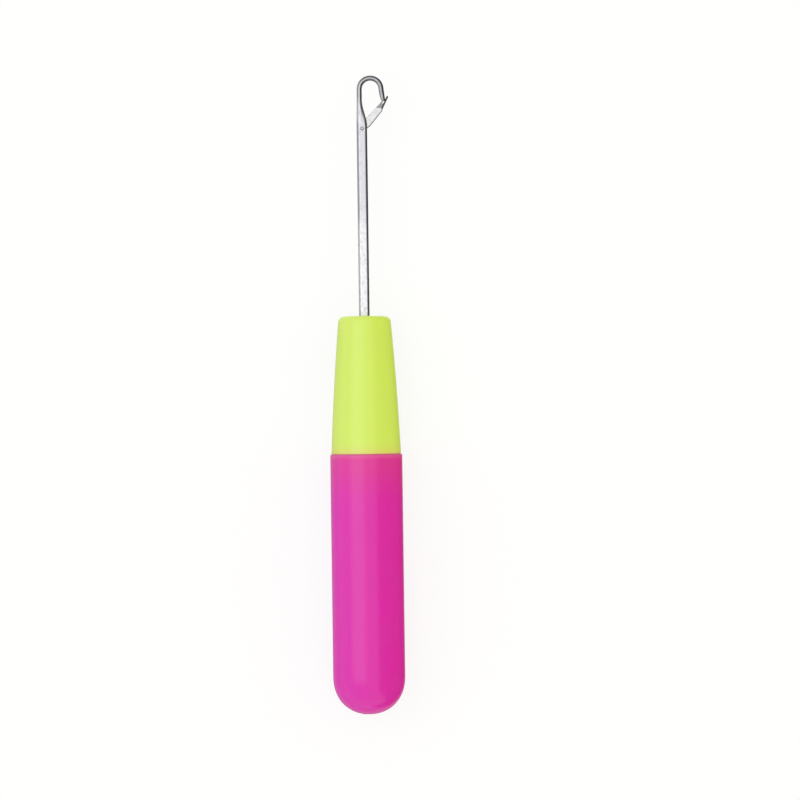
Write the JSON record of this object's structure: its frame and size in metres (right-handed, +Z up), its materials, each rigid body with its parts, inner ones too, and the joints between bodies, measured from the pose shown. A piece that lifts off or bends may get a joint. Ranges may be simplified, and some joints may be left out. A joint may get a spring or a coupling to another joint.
{
  "type": "dreadlock crochet hook",
  "caption": "Latch hook for crocheting dreadlocks: a flat steel needle with a round hook and a swinging latch, in a two-piece domed plastic handle.",
  "frame": {"origin": "middle of the tool's bounding box, on the surface it lies on", "axes": "+Y along the handle and needle towards the hook, +X towards the side the hook and latch open on, +Z up"},
  "size_m": [0.018, 0.16, 0.0179],
  "materials": {
    "pink_plastic": "satin",
    "lime_plastic": "satin",
    "needle_steel": "satin",
    "latch_steel": "polished"
  },
  "bodies": {
    "handle": {"handle_barrel": "pink_plastic", "handle_nose": "lime_plastic", "needle": "needle_steel", "latch_rivet": "latch_steel"},
    "latch": {"latch": "latch_steel"}
  },
  "joints": [
    {"name": "latch_pivot", "type": "hinge", "parent": "handle", "child": "latch", "pos_m": [0, 0.0667, 0.00897], "axis": [0, 0, -1], "range_deg": [0, 120]}
  ]
}
